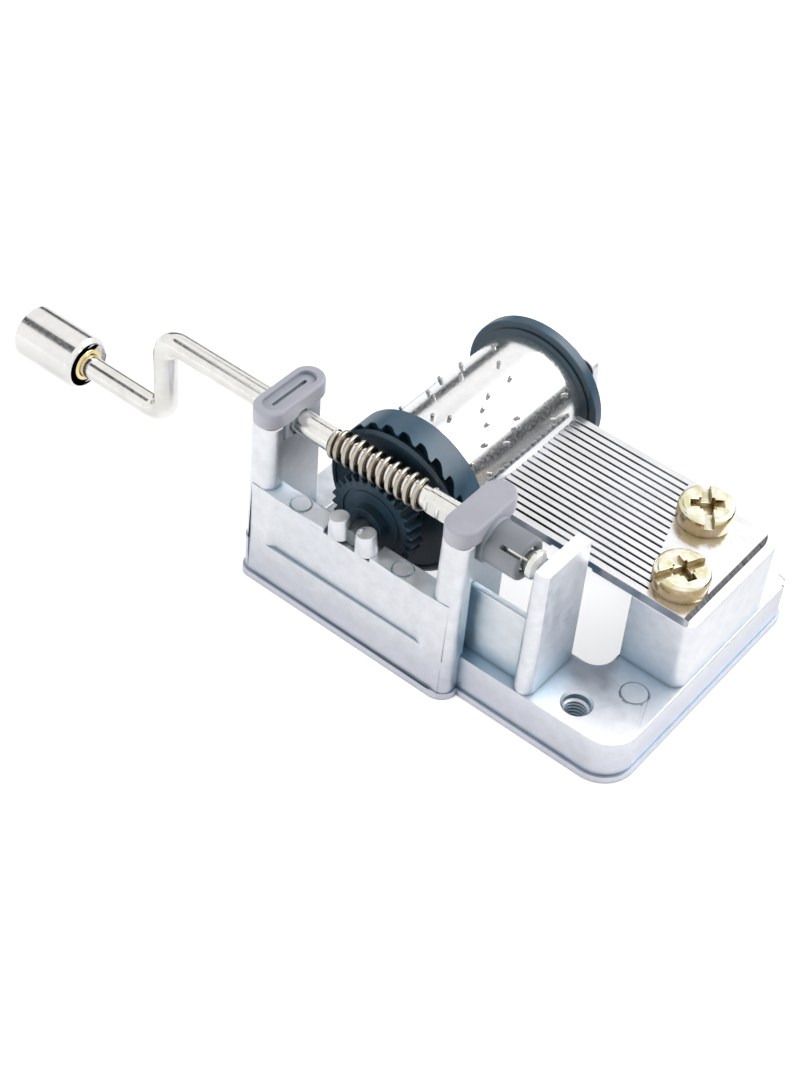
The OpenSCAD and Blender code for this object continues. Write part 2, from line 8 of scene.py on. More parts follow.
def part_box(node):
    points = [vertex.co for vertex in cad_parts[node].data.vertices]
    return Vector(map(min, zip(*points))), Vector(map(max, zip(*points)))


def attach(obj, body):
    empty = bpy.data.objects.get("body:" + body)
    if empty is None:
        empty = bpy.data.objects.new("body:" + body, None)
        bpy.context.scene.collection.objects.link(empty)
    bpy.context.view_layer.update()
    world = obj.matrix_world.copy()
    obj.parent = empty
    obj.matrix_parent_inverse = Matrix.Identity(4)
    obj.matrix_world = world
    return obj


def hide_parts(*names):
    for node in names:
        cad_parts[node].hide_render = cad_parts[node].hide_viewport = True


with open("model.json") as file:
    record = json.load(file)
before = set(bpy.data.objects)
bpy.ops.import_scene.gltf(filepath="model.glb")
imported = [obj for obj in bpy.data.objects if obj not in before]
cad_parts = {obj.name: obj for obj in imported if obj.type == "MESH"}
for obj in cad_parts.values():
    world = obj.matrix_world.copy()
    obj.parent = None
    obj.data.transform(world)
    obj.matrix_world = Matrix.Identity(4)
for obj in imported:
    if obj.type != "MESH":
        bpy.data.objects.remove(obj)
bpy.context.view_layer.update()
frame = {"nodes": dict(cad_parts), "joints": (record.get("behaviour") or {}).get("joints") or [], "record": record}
cadNodes = frame["nodes"]
jointAt = {joint["name"]: Vector(joint["pos_m"]) for joint in frame["joints"]}
mountAt = {mount["name"]: mount for mount in frame["record"]["mounts"]}
slotOf = {entry["node"]: entry["material_slot"] for entry in frame["record"]["subparts"]}
mm = 0.001
print("frame loaded:", len(cadNodes), "nodes")

# Tools for modelling

weldGap = 0.002 * mm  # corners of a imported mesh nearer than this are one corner
seamGap = 0.001 * mm  # the same at the seams of a wound shape
placeGap = 0.01 * mm  # a corner nearer than this to a height or a depth lies on it
sidewaysGap = 0.05 * mm  # the same for a place along x
flatAngle = radians(0.6)  # faces that differ by less than this are one flat face
levelShare = 0.9  # a face is level when its normal has more of Z than this
runsOn = 0.7  # an edge runs on as the next when the cosine between them is over this


def deselectAll():
    if bpy.context.object and bpy.context.object.mode != "OBJECT":
        bpy.ops.object.mode_set(mode="OBJECT")
    bpy.ops.object.select_all(action="DESELECT")


def choose(piece):
    deselectAll()
    piece.select_set(True)
    bpy.context.view_layer.objects.active = piece


def applyModifier(piece, kind, **settings):
    choose(piece)
    modifier = piece.modifiers.new(kind.lower(), kind)
    for key, value in settings.items():
        setattr(modifier, key, value)
    bpy.ops.object.modifier_apply(modifier=modifier.name)


def applyPlace(piece):
    choose(piece)
    bpy.ops.object.transform_apply(location=True, rotation=True, scale=True)


def selectEdges(piece, indices):
    # leaves the piece in edit mode with only these edges selected
    choose(piece)
    bpy.ops.object.mode_set(mode="EDIT")
    bpy.ops.mesh.select_mode(type="EDGE")
    bpy.ops.mesh.select_all(action="DESELECT")
    bpy.ops.object.mode_set(mode="OBJECT")
    for index in indices:
        piece.data.edges[index].select = True
    bpy.ops.object.mode_set(mode="EDIT")


def facesAtEdges(mesh):
    # for each edge the normals of its faces, each with the direction from the edge into that face
    place = [corner.co for corner in mesh.vertices]
    sides = {}
    for face in mesh.polygons:
        corners = list(face.vertices)
        for first, second in zip(corners, corners[1:] + corners[:1]):
            key = (min(first, second), max(first, second))
            inward = face.normal.cross(place[second] - place[first])
            sides.setdefault(key, []).append((face.normal.copy(), inward))
    return sides


def roundEdges(piece, width, segments=2, angle=32, spare=2.0, above=-1.0):
    # rounds the outer sharp edges, save those that run into detail finer than the rounding
    mesh = piece.data
    place = [corner.co for corner in mesh.vertices]
    sides = facesAtEdges(mesh)
    lines = [place[edge.vertices[1]] - place[edge.vertices[0]] for edge in mesh.edges]
    around = {}
    for edge in mesh.edges:
        for corner in edge.vertices:
            around.setdefault(corner, []).append(edge.index)
    picked = []
    for edge in mesh.edges:
        pair = sides.get(edge.key, [])
        if len(pair) != 2 or pair[0][0].angle(pair[1][0], 0) < radians(angle):
            continue
        isHollow = pair[1][1].dot(pair[0][0]) > 0
        if isHollow or max(place[corner].z for corner in edge.vertices) < above:
            continue
        line = lines[edge.index].normalized()
        others = [lines[other] for corner in edge.vertices for other in around[corner] if other != edge.index]
        if all(other.length > spare * width or abs(line.dot(other.normalized())) > runsOn
               for other in others):
            picked.append(edge.index)
    selectEdges(piece, picked)
    bpy.ops.mesh.bevel(offset=width, segments=segments, affect="EDGES", clamp_overlap=False,
                       miter_outer="ARC")
    bpy.ops.object.mode_set(mode="OBJECT")


def shade(piece, angle=38, weighted=True):
    choose(piece)
    bpy.ops.object.shade_smooth_by_angle(angle=radians(angle))
    if weighted:
        applyModifier(piece, "WEIGHTED_NORMAL", weight=60, keep_sharp=True)


def cutOut(piece, cutter):
    applyModifier(piece, "BOOLEAN", operation="DIFFERENCE", solver="EXACT", object=cutter)
    choose(cutter)
    bpy.ops.object.delete()


def closeUp(piece):
    # closes open ends and turns the normals outward
    choose(piece)
    bpy.ops.object.mode_set(mode="EDIT")
    bpy.ops.mesh.select_all(action="SELECT")
    bpy.ops.mesh.remove_doubles(threshold=seamGap)
    bpy.ops.mesh.select_all(action="DESELECT")
    bpy.ops.mesh.select_mode(type="EDGE")
    bpy.ops.mesh.select_non_manifold()
    bpy.ops.mesh.fill_holes(sides=0)
    bpy.ops.mesh.select_all(action="SELECT")
    bpy.ops.mesh.normals_make_consistent(inside=False)
    bpy.ops.object.mode_set(mode="OBJECT")


def addRod(name, place, radius, length, axis="Z", sides=48):
    # a cylinder whose middle is at the place
    turn = {"X": (0, radians(90), 0), "Y": (radians(90), 0, 0), "Z": (0, 0, 0)}[axis]
    bpy.ops.mesh.primitive_cylinder_add(vertices=sides, radius=radius, depth=length,
                                        location=place, rotation=turn)
    rod = bpy.context.object
    rod.name = name
    applyPlace(rod)
    return rod


def addBox(name, place, extents, turn=0):
    bpy.ops.mesh.primitive_cube_add(size=1, location=place, rotation=(0, 0, turn))
    block = bpy.context.object
    block.name = name
    block.scale = extents
    applyPlace(block)
    return block


def copyNode(nodeName, pieceName, flatten=True):
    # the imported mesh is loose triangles, which are welded here and, to flatten it, joined where coplanar
    piece = bpy.data.objects.new(pieceName, cadNodes[nodeName].data.copy())
    bpy.context.scene.collection.objects.link(piece)
    piece.data.materials.clear()
    choose(piece)
    bpy.ops.mesh.customdata_custom_splitnormals_clear()
    bpy.ops.object.mode_set(mode="EDIT")
    bpy.ops.mesh.select_mode(type="VERT")
    bpy.ops.mesh.select_all(action="SELECT")
    bpy.ops.mesh.remove_doubles(threshold=weldGap)
    bpy.ops.object.mode_set(mode="OBJECT")
    if flatten:
        joinCoplanar(piece)
    return piece


def joinCoplanar(piece, above=-1.0):
    # joins the triangles of flat faces; level ones lower than the given height stay as they are
    choose(piece)
    bpy.ops.object.mode_set(mode="EDIT")
    bpy.ops.mesh.select_all(action="SELECT")
    bpy.ops.mesh.remove_doubles(threshold=weldGap)
    bpy.ops.mesh.select_mode(type="FACE")
    bpy.ops.mesh.select_all(action="DESELECT")
    bpy.ops.object.mode_set(mode="OBJECT")
    for face in piece.data.polygons:
        face.select = face.center.z > above or abs(face.normal.z) < levelShare
    bpy.ops.object.mode_set(mode="EDIT")
    bpy.ops.mesh.dissolve_limited(angle_limit=flatAngle)
    bpy.ops.object.mode_set(mode="OBJECT")


def dress(piece, body, slotName, finish, *replaced):
    piece.data.materials.clear()
    piece.data.materials.append(finish)
    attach(piece, body)
    if replaced:
        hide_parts(*replaced)


# Camera, found from the comb's slots, the cylinder's circles and the bedplate in the photo

cameraSettings = {
    "place": Vector((78.769, -130.937, 162.796)) * mm,
    "right": Vector((0.7724, 0.6323, 0.0598)),
    "down": Vector((0.4876, -0.5301, -0.6937)),
    "forward": Vector((-0.4069, 0.5650, -0.7178)),
    "focalPixels": 2020.69,
    "imageHeight": 1091,  # pixels
    "sensor": 36,
    "nearest": 0.01,
    "farthest": 10,
}


def makeCamera(settings):
    bpy.ops.object.camera_add()
    camera = bpy.context.object
    camera.name = "photo_camera"
    turn = Matrix((settings["right"], -settings["down"], -settings["forward"])).transposed()
    camera.matrix_world = Matrix.LocRotScale(settings["place"], turn.to_quaternion(), None)
    camera.data.sensor_width = settings["sensor"]
    camera.data.sensor_fit = "AUTO"
    camera.data.lens = settings["sensor"] * settings["focalPixels"] / settings["imageHeight"]
    camera.data.clip_start = settings["nearest"]
    camera.data.clip_end = settings["farthest"]
    bpy.context.scene.camera = camera


makeCamera(cameraSettings)

# Floor and light, all in metres

studio = {
    "floorSize": 4,
    "floorColour": (0.91, 0.89, 0.885),
    "floorGlow": 0.60,  # what the camera sees of it beyond the light that falls on it
    "floorGlowInMetal": 0.36,
    "skyColour": (0.72, 0.88, 0.96),
    "skyLevel": 0.20,
    "lamps": [  # name, place, size, watts, colour, whether the metal mirrors it
        ("back_softbox", (0.15, 0.40, 0.44), 0.50, 2.6, (1, 1, 1), True),
        ("left_fill", (-0.30, -0.42, 0.17), 0.30, 1.6, (1, 0.985, 0.975), False),
        ("right_fill", (0.46, -0.10, 0.10), 0.24, 0.45, (1, 0.985, 0.975), False),
    ],
    "target": (-0.005, 0, 0.012),
    "flags": [  # name, middle, size along its two sides, turn in degrees
        ("front_flag", (-0.315, -0.15, 0.35), (0.15, 0.20), (0, 0, 0)),
        ("back_flag", (-0.21, 0.21, 0.35), (0.11, 0.11), (0, 0, 0)),
        ("left_flag", (-0.42, 0.36, 0.088), (0.36, 0.17), (90, 0, 60)),
        ("right_flag", (0.385, 0.37, 0.108), (0.34, 0.21), (90, 0, -48)),
        ("floor_flag", (0.215, 0.205, 0.001), (0.36, 0.24), (0, 0, 43)),
        ("horizon_flag", (0.46, 0.42, 0.034), (0.80, 0.066), (90, 0, -48)),
    ],
    "flagColour": (0.05, 0.055, 0.06),
    "flagRoughness": 0.9,
}


def makeFloor(settings):
    bpy.ops.mesh.primitive_plane_add(size=settings["floorSize"], location=(0, 0, 0))
    floor = bpy.context.object
    floor.name = "studio_floor"
    material = bpy.data.materials.new("floor_white")
    material.use_nodes = True
    tree = material.node_tree
    tree.nodes.clear()
    diffuse = tree.nodes.new("ShaderNodeBsdfDiffuse")
    diffuse.inputs["Color"].default_value = (*settings["floorColour"], 1)
    path = tree.nodes.new("ShaderNodeLightPath")
    seen = tree.nodes.new("ShaderNodeMath")
    seen.operation = "MULTIPLY"
    seen.inputs[1].default_value = settings["floorGlow"]
    tree.links.new(path.outputs["Is Camera Ray"], seen.inputs[0])
    level = tree.nodes.new("ShaderNodeMath")
    level.operation = "MULTIPLY_ADD"
    level.inputs[1].default_value = settings["floorGlowInMetal"]
    tree.links.new(path.outputs["Is Glossy Ray"], level.inputs[0])
    tree.links.new(seen.outputs[0], level.inputs[2])
    glow = tree.nodes.new("ShaderNodeEmission")
    tree.links.new(level.outputs[0], glow.inputs["Strength"])
    total = tree.nodes.new("ShaderNodeAddShader")
    tree.links.new(diffuse.outputs[0], total.inputs[0])
    tree.links.new(glow.outputs[0], total.inputs[1])
    output = tree.nodes.new("ShaderNodeOutputMaterial")
    tree.links.new(total.outputs[0], output.inputs["Surface"])
    floor.data.materials.append(material)


def makeFlags(settings):
    # dark cards outside the view, which the bright metal mirrors
    material = bpy.data.materials.new("flag_dark")
    material.use_nodes = True
    shader = material.node_tree.nodes["Principled BSDF"]
    shader.inputs["Base Color"].default_value = (*settings["flagColour"], 1)
    shader.inputs["Roughness"].default_value = settings["flagRoughness"]
    for name, middle, sides, turn in settings["flags"]:
        bpy.ops.mesh.primitive_plane_add(size=1, location=middle, rotation=[radians(angle) for angle in turn])
        flag = bpy.context.object
        flag.name = name
        flag.scale = (*sides, 1)
        flag.visible_camera = False
        flag.visible_diffuse = False
        flag.visible_shadow = False
        flag.data.materials.append(material)


def makeLamps(settings):
    for name, place, size, watts, colour, inMetal in settings["lamps"]:
        bpy.ops.object.light_add(type="AREA", location=place)
        lamp = bpy.context.object
        lamp.name = name
        lamp.data.size = size
        lamp.data.energy = watts
        lamp.data.color = colour
        lamp.visible_glossy = inMetal
        aim = Vector(settings["target"]) - Vector(place)
        lamp.rotation_mode = "QUATERNION"
        lamp.rotation_quaternion = aim.to_track_quat("-Z", "Y")


def makeSky(settings):
    # the light on the object is the sky's, what the camera and the metal see is white
    world = bpy.data.worlds.new("studio_white")
    bpy.context.scene.world = world
    world.use_nodes = True
    tree = world.node_tree
    tree.nodes.clear()
    sky = tree.nodes.new("ShaderNodeBackground")
    sky.inputs["Color"].default_value = (*settings["skyColour"], 1)
    sky.inputs["Strength"].default_value = settings["skyLevel"]
    white = tree.nodes.new("ShaderNodeBackground")
    white.inputs["Color"].default_value = (1, 1, 1, 1)
    white.inputs["Strength"].default_value = 1
    path = tree.nodes.new("ShaderNodeLightPath")
    mix = tree.nodes.new("ShaderNodeMixShader")
    seen = path.outputs["Is Camera Ray"]
    for ray in ("Is Glossy Ray", "Is Transmission Ray"):
        either = tree.nodes.new("ShaderNodeMath")
        either.operation = "MAXIMUM"
        tree.links.new(seen, either.inputs[0])
        tree.links.new(path.outputs[ray], either.inputs[1])
        seen = either.outputs[0]
    tree.links.new(seen, mix.inputs["Fac"])
    tree.links.new(sky.outputs[0], mix.inputs[1])
    tree.links.new(white.outputs[0], mix.inputs[2])
    output = tree.nodes.new("ShaderNodeOutputWorld")
    tree.links.new(mix.outputs[0], output.inputs["Surface"])


makeFloor(studio)
makeFlags(studio)
makeLamps(studio)
makeSky(studio)
bpy.context.scene.view_settings.view_transform = "Standard"
print("camera, floor and light made")

# Tools for materials

recessSamples = 6
sideUpTo = 0.3  # for the painted side shade, a face is all side until its normal has this much of Z
topFrom = 0.6


def startFinish(name, colour, metallic, roughness):
    material = bpy.data.materials.new(name)
    material.use_nodes = True
    tree = material.node_tree
    shader = tree.nodes["Principled BSDF"]
    shader.inputs["Base Color"].default_value = (*colour, 1)
    shader.inputs["Metallic"].default_value = metallic
    shader.inputs["Roughness"].default_value = roughness
    coords = tree.nodes.new("ShaderNodeTexCoord").outputs["Object"]
    return material, tree, shader, coords


def grain(tree, coords, scale, detail=4, rough=0.55, stretch=(1, 1, 1)):
    mapping = tree.nodes.new("ShaderNodeMapping")
    mapping.inputs["Scale"].default_value = [scale * share for share in stretch]
    tree.links.new(coords, mapping.inputs["Vector"])
    noise = tree.nodes.new("ShaderNodeTexNoise")
    noise.inputs["Scale"].default_value = 1
    noise.inputs["Detail"].default_value = detail
    noise.inputs["Roughness"].default_value = rough
    tree.links.new(mapping.outputs["Vector"], noise.inputs["Vector"])
    return noise.outputs["Fac"]


def spread(tree, value, low, high, fromLow=0.35, fromHigh=0.65):
    span = tree.nodes.new("ShaderNodeMapRange")
    span.inputs["From Min"].default_value = fromLow
    span.inputs["From Max"].default_value = fromHigh
    span.inputs["To Min"].default_value = low
    span.inputs["To Max"].default_value = high
    tree.links.new(value, span.inputs["Value"])
    return span.outputs["Result"]


def tint(tree, value, first, second, fromLow=0.35, fromHigh=0.65):
    ramp = tree.nodes.new("ShaderNodeValToRGB")
    ramp.color_ramp.elements[0].position = fromLow
    ramp.color_ramp.elements[0].color = (*first, 1)
    ramp.color_ramp.elements[1].position = fromHigh
    ramp.color_ramp.elements[1].color = (*second, 1)
    tree.links.new(value, ramp.inputs["Fac"])
    return ramp.outputs["Color"]


def darken(tree, share, base, tone):
    # multiplies the base by the tone, as far as the share says
    mix = tree.nodes.new("ShaderNodeMix")
    mix.data_type = "RGBA"
    mix.blend_type = "MULTIPLY"
    tree.links.new(share, mix.inputs["Factor"])
    colours = [entry for entry in mix.inputs if entry.type == "RGBA"]
    tree.links.new(base, colours[0])
    colours[1].default_value = (*tone, 1)
    return [entry for entry in mix.outputs if entry.type == "RGBA"][0]


def bumpUp(tree, shader, height, strength, distance, before=None):
    bump = tree.nodes.new("ShaderNodeBump")
    bump.inputs["Strength"].default_value = strength
    bump.inputs["Distance"].default_value = distance
    tree.links.new(height, bump.inputs["Height"])
    if before:
        tree.links.new(before, bump.inputs["Normal"])
    tree.links.new(bump.outputs["Normal"], shader.inputs["Normal"])
    return bump.outputs["Normal"]


def scaled(colour, factor):
    return tuple(min(1.0, channel * factor) for channel in colour)


def recess(tree, base, tone, reach, ownOnly=False, low=0.25, high=0.85):
    # painted shade: the base takes the tone deep in corners and recesses, where ambient occlusion finds them
    # hidden
    hollowShade = tree.nodes.new("ShaderNodeAmbientOcclusion")
    hollowShade.samples = recessSamples
    hollowShade.only_local = ownOnly
    hollowShade.inputs["Distance"].default_value = reach
    depth = spread(tree, hollowShade.outputs["AO"], 1.0, 0.0, low, high)
    return darken(tree, depth, base, tone)


def paintedSideShade(tree, coords, base, sideShadeTone):
    # painted shade: by the normal of the piece, its sides take a darker tone than its top
    facing = tree.nodes.new("ShaderNodeSeparateXYZ")
    tree.links.new(coords.node.outputs["Normal"], facing.inputs[0])
    return darken(tree, spread(tree, facing.outputs["Z"], 1, 0, sideUpTo, topFrom), base, sideShadeTone)


# Cast zinc: mottled, with painted shade at its foot and in its corners

castZinc = {
    "colour": (0.91, 0.915, 0.945),
    "metallic": 0.8,
    "roughness": 0.36,
    "roughnessSpread": (0.30, 0.44),
    "mottle": (700, 6, 0.62),  # scale, detail and roughness of each grain
    "fine": (3600, 3, 0.6),
    "broad": (110, 3, 0.5),
    "drift": (0.95, 1.05),
    "broadTone": (0.93, 0.95, 0.98),
    "broadShare": 0.3,
    "fineTone": (0.82, 0.84, 0.86),
    "fineShare": 0.12,
    "footShadeTone": (0.80, 0.80, 0.84),
    "footShadeFades": (3 * mm, 8 * mm),
    # painted shade in the recesses, first broad and teal, then narrow and dark
    "broadRecessShade": ((0.42, 0.59, 0.68), 8 * mm, True, 0.30, 0.94),  # tone, reach, own piece only, from, to
    "narrowRecessShade": ((0.56, 0.52, 0.50), 0.7 * mm),
    "fineBump": (0.30, 0.018 * mm),  # strength, height
    "mottleBump": (0.30, 0.05 * mm),
}


def zincFinish(look):
    colour = look["colour"]
    material, tree, shader, coords = startFinish("cast_zinc", colour, look["metallic"], look["roughness"])
    mottle = grain(tree, coords, *look["mottle"])
    fine = grain(tree, coords, *look["fine"])
    broad = grain(tree, coords, *look["broad"])
    base = tint(tree, mottle, *[scaled(colour, factor) for factor in look["drift"]])
    base = darken(tree, spread(tree, broad, 0.0, look["broadShare"]), base, look["broadTone"])
    base = darken(tree, spread(tree, fine, 0.0, look["fineShare"]), base, look["fineTone"])
    # painted shade near the floor: full below 3 mm, gone above 8 mm
    apart = tree.nodes.new("ShaderNodeSeparateXYZ")
    tree.links.new(coords, apart.inputs[0])
    foot = spread(tree, apart.outputs["Z"], 1, 0, *look["footShadeFades"])
    base = darken(tree, foot, base, look["footShadeTone"])
    # painted shade: a broad teal one in the pockets and a narrow dark line in the creases
    base = recess(tree, base, *look["broadRecessShade"])
    base = recess(tree, base, *look["narrowRecessShade"])
    tree.links.new(base, shader.inputs["Base Color"])
    tree.links.new(spread(tree, mottle, *look["roughnessSpread"]), shader.inputs["Roughness"])
    first = bumpUp(tree, shader, fine, *look["fineBump"])
    bumpUp(tree, shader, mottle, *look["mottleBump"], first)
    return material


# Nylon

nylon = {
    "roughness": 0.42,
    "roughnessSpread": (0.36, 0.5),
    "cloud": (260, 4),
    "fine": (4200, 2),
    "drift": (0.95, 1.05),
    # painted shade in the nylon's recesses: tone and reach
    "recess": ((0.55, 0.66, 0.66), 1.6 * mm),
    "glowThrough": 0.08,
    "glowReach": (0.4 * mm, 0.35 * mm, 0.35 * mm),
    "bump": (0.25, 0.015 * mm),
}


def nylonFinish(look, name, colour):
    material, tree, shader, coords = startFinish(name, colour, 0, look["roughness"])
    cloud = grain(tree, coords, *look["cloud"])
    fine = grain(tree, coords, *look["fine"])
    base = tint(tree, cloud, *[scaled(colour, factor) for factor in look["drift"]])
    tree.links.new(recess(tree, base, *look["recess"]), shader.inputs["Base Color"])
    tree.links.new(spread(tree, cloud, *look["roughnessSpread"]), shader.inputs["Roughness"])
    shader.inputs["Subsurface Weight"].default_value = look["glowThrough"]
    shader.inputs["Subsurface Radius"].default_value = look["glowReach"]
    bumpUp(tree, shader, fine, *look["bump"])
    return material


# Ground or drawn steel: fine lines along one direction; cut sides can take painted shade, darker than the top

linedSteel = {
    "lines": (900, 4, 0.6),
    "cloud": (300, 3),
    "drift": (0.95, 1.04),
    "roughnessDrift": (0.8, 1.25),
    "lineHeight": 0.01 * mm,
}


def steelFinish(look, name, colour, roughness, stretch, lineStrength=0.3, sideShadeTone=None):
    material, tree, shader, coords = startFinish(name, colour, 1, roughness)
    lines = grain(tree, coords, *look["lines"], stretch)
    cloud = grain(tree, coords, *look["cloud"])
    base = tint(tree, cloud, *[scaled(colour, factor) for factor in look["drift"]])
    if sideShadeTone:
        base = paintedSideShade(tree, coords, base, sideShadeTone)
    tree.links.new(base, shader.inputs["Base Color"])
    limits = [roughness * factor for factor in look["roughnessDrift"]]
    tree.links.new(spread(tree, lines, *limits), shader.inputs["Roughness"])
    bumpUp(tree, shader, lines, lineStrength, look["lineHeight"])
    return material


# Bright plating whose tone drifts a little, with painted shade in its hollows and on its sides where given

plating = {
    "cloudDetail": 3,
    "fine": (3600, 3),
    "cloudLimits": (0.4, 0.62),
    "recessReach": 0.9 * mm,
    "roughnessDrift": (0.75, 1.4),
    "bump": (0.1, 0.006 * mm),
}


def plateFinish(look, name, colour, second, roughness, scale=500, hollowShade=None, sideShadeTone=None):
    material, tree, shader, coords = startFinish(name, colour, 1, roughness)
    cloud = grain(tree, coords, scale, look["cloudDetail"])
    fine = grain(tree, coords, *look["fine"])
    base = tint(tree, cloud, colour, second, *look["cloudLimits"])
    # painted shade in the hollows
    if hollowShade:
        base = recess(tree, base, hollowShade, look["recessReach"])
    if sideShadeTone:
        base = paintedSideShade(tree, coords, base, sideShadeTone)
    tree.links.new(base, shader.inputs["Base Color"])
    limits = [roughness * factor for factor in look["roughnessDrift"]]
    tree.links.new(spread(tree, fine, *limits), shader.inputs["Roughness"])
    bumpUp(tree, shader, fine, *look["bump"])
    return material


# Moulded plastic: with a shade radius, what lies nearer to the cylinder's axis takes painted shade

moulded = {
    "cloud": (320, 4),
    "fine": (3800, 3),
    "drift": (0.85, 1.2),
    "roughnessDrift": (0.85, 1.2),
    "innerShadeTone": (0.30, 0.37, 0.38),
    "innerShadeFades": (-0.05 * mm, 0.02 * mm),
    "bump": (0.25, 0.012 * mm),
}


def mouldedFinish(look, name, colour, roughness, gloss=0.5, shadeRadius=None):
    material, tree, shader, coords = startFinish(name, colour, 0, roughness)
    cloud = grain(tree, coords, *look["cloud"])
    fine = grain(tree, coords, *look["fine"])
    base = tint(tree, cloud, *[scaled(colour, factor) for factor in look["drift"]])
    # painted shade in the notches, nearer to the axis than the radius
    if shadeRadius:
        fades = [shadeRadius + step for step in look["innerShadeFades"]]
        innerShade = spread(tree, reachFromAxis(tree, coords), 1, 0, *fades)
        base = darken(tree, innerShade, base, look["innerShadeTone"])
    tree.links.new(base, shader.inputs["Base Color"])
    limits = [roughness * factor for factor in look["roughnessDrift"]]
    tree.links.new(spread(tree, cloud, *limits), shader.inputs["Roughness"])
    shader.inputs["Specular IOR Level"].default_value = gloss
    bumpUp(tree, shader, fine, *look["bump"])
    return material


def reachFromAxis(tree, coords):
    # how far a place lies from the axis of the cylinder
    apart = tree.nodes.new("ShaderNodeVectorMath")
    apart.operation = "SUBTRACT"
    apart.inputs[1].default_value = jointAt["cylinder_turn"]
    tree.links.new(coords, apart.inputs[0])
    across = tree.nodes.new("ShaderNodeVectorMath")
    across.operation = "MULTIPLY"
    across.inputs[1].default_value = (1, 0, 1)
    tree.links.new(apart.outputs[0], across.inputs[0])
    reach = tree.nodes.new("ShaderNodeVectorMath")
    reach.operation = "LENGTH"
    tree.links.new(across.outputs[0], reach.inputs[0])
    return reach.outputs["Value"]


# The finishes by material slot, and the collet's nylon, painted darker as shade

flangeLow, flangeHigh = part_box("near_flange")
flangeShadeRadius = (flangeHigh.z - flangeLow.z) / 2 - 0.12 * mm  # nearer to the axis the flange is painted dark, as shade in its notches
finishes = {
    "cast_zinc": zincFinish(castZinc),
    "nylon": nylonFinish(nylon, "grey_nylon", (0.59, 0.575, 0.64)),
    "collet_nylon_painted_shade": nylonFinish(nylon, "collet_nylon_painted_shade", (0.33, 0.34, 0.37)),
    # the arbor's steel is painted dark, for the shade and dark reflection between the studs
    "arbor_steel": steelFinish(linedSteel, "arbor_steel", (0.20, 0.23, 0.24), roughness=0.34,
                               stretch=(0.1, 0.1, 8)),
    # the comb's cut sides take painted shade
    "comb_steel": steelFinish(linedSteel, "comb_steel", (0.84, 0.84, 0.85), roughness=0.20,
                              stretch=(0.12, 5, 1), lineStrength=0.2, sideShadeTone=(0.55, 0.57, 0.61)),
    "damper_film": mouldedFinish(moulded, "damper_film", (0.10, 0.09, 0.08), roughness=0.5),
    # the screws take painted shade in their slots and on their sides
    "yellow_zinc": plateFinish(plating, "yellow_zinc", (0.98, 0.94, 0.80), (0.74, 0.70, 0.44),
                               roughness=0.16, scale=600, hollowShade=(0.38, 0.36, 0.24),
                               sideShadeTone=(0.56, 0.45, 0.36)),
    "nickel_wire": plateFinish(plating, "nickel_wire", (0.87, 0.86, 0.83), (0.81, 0.79, 0.75),
                               roughness=0.16),
    # the worm takes painted shade between its turns
    "worm_steel": plateFinish(plating, "worm_steel", (0.60, 0.55, 0.48), (0.42, 0.37, 0.30),
                              roughness=0.19, hollowShade=(0.22, 0.19, 0.15)),
    "knob_nickel": plateFinish(plating, "knob_nickel", (0.87, 0.86, 0.84), (0.83, 0.81, 0.79),
                               roughness=0.17),
    "bush_brass": plateFinish(plating, "bush_brass", (0.90, 0.76, 0.44), (0.84, 0.68, 0.36),
                              roughness=0.22),
    "black_plastic": mouldedFinish(moulded, "black_plastic", (0.018, 0.042, 0.064), roughness=0.40,
                                   gloss=0.55),
    "flange_plastic": mouldedFinish(moulded, "flange_plastic", (0.044, 0.104, 0.160), roughness=0.34,
                                    gloss=0.65, shadeRadius=flangeShadeRadius),
    "barrel_chrome": plateFinish(plating, "barrel_chrome", (0.96, 0.96, 0.955), (0.92, 0.925, 0.92),
                                 roughness=0.19),
    # the pins' steel is painted darker, for the shade and dark reflections on their sides
    "pin_steel": plateFinish(plating, "pin_steel", (0.40, 0.40, 0.40), (0.28, 0.28, 0.29),
                             roughness=0.24),
}
print("finishes made:", len(finishes))

# Bedplate: the casting with grooves round its ejector marks, and its hole bored for the thread

casting = {
    "edge": 0.20 * mm,
    "edgeAbove": 0.1 * mm,  # the underside stays sharp
    "joinAbove": 14 * mm,  # level faces lower than this keep their triangles
    "marks": [  # x, y, z and radius in millimetres
        (-17.2, -15.9, 13.6, 1.12),
        (-3.45, -15.9, 13.6, 1.12),
        (20.7, -7.3, 5.7, 1.45),
    ],
    "groove": 0.09 * mm,
    "wallTop": 13.6 * mm,
    "wallFront": -17.5 * mm,
    "wallCorners": [(-23.2, -16.91), (-20.7, -17.1), (0.85, -17.1), (3.35, -16.91)],  # x and new y
    "panelSides": [(-20.7, -19.6), (0.85, -0.25)],  # x and new x, in millimetres as well
    "panelFront": -17.1 * mm,
}
holeThread = {
    "pitch": 0.5 * mm,
    "outer": 1.5 * mm,
    "top": 5.42 * mm,
    "start": 0.3 * mm,
    "sunk": 0.06 * mm,  # how far the thread's root stands in the wall of the hole
    "thick": 0.86,  # share of the pitch
    "crest": 0.16,  # share of the root's thickness
    "steps": 40,
    "below": 1 * mm,  # how far the bore runs out under the bedplate
}


def moveCorners(piece, sizes):
    # under each post the wall's top corners go back to the post's front, and the panel's ends slope
    for corner in piece.data.vertices:
        onTop = abs(corner.co.z - sizes["wallTop"]) < placeGap
        if onTop and abs(corner.co.y - sizes["wallFront"]) < placeGap:
            for wallX, wallY in sizes["wallCorners"]:
                if abs(corner.co.x - wallX * mm) < sidewaysGap:
                    corner.co.y = wallY * mm
        for panelX, newX in sizes["panelSides"]:
            onPanel = abs(corner.co.y - sizes["panelFront"]) < placeGap
            if onPanel and abs(corner.co.x - panelX * mm) < sidewaysGap:
                corner.co.x = newX * mm


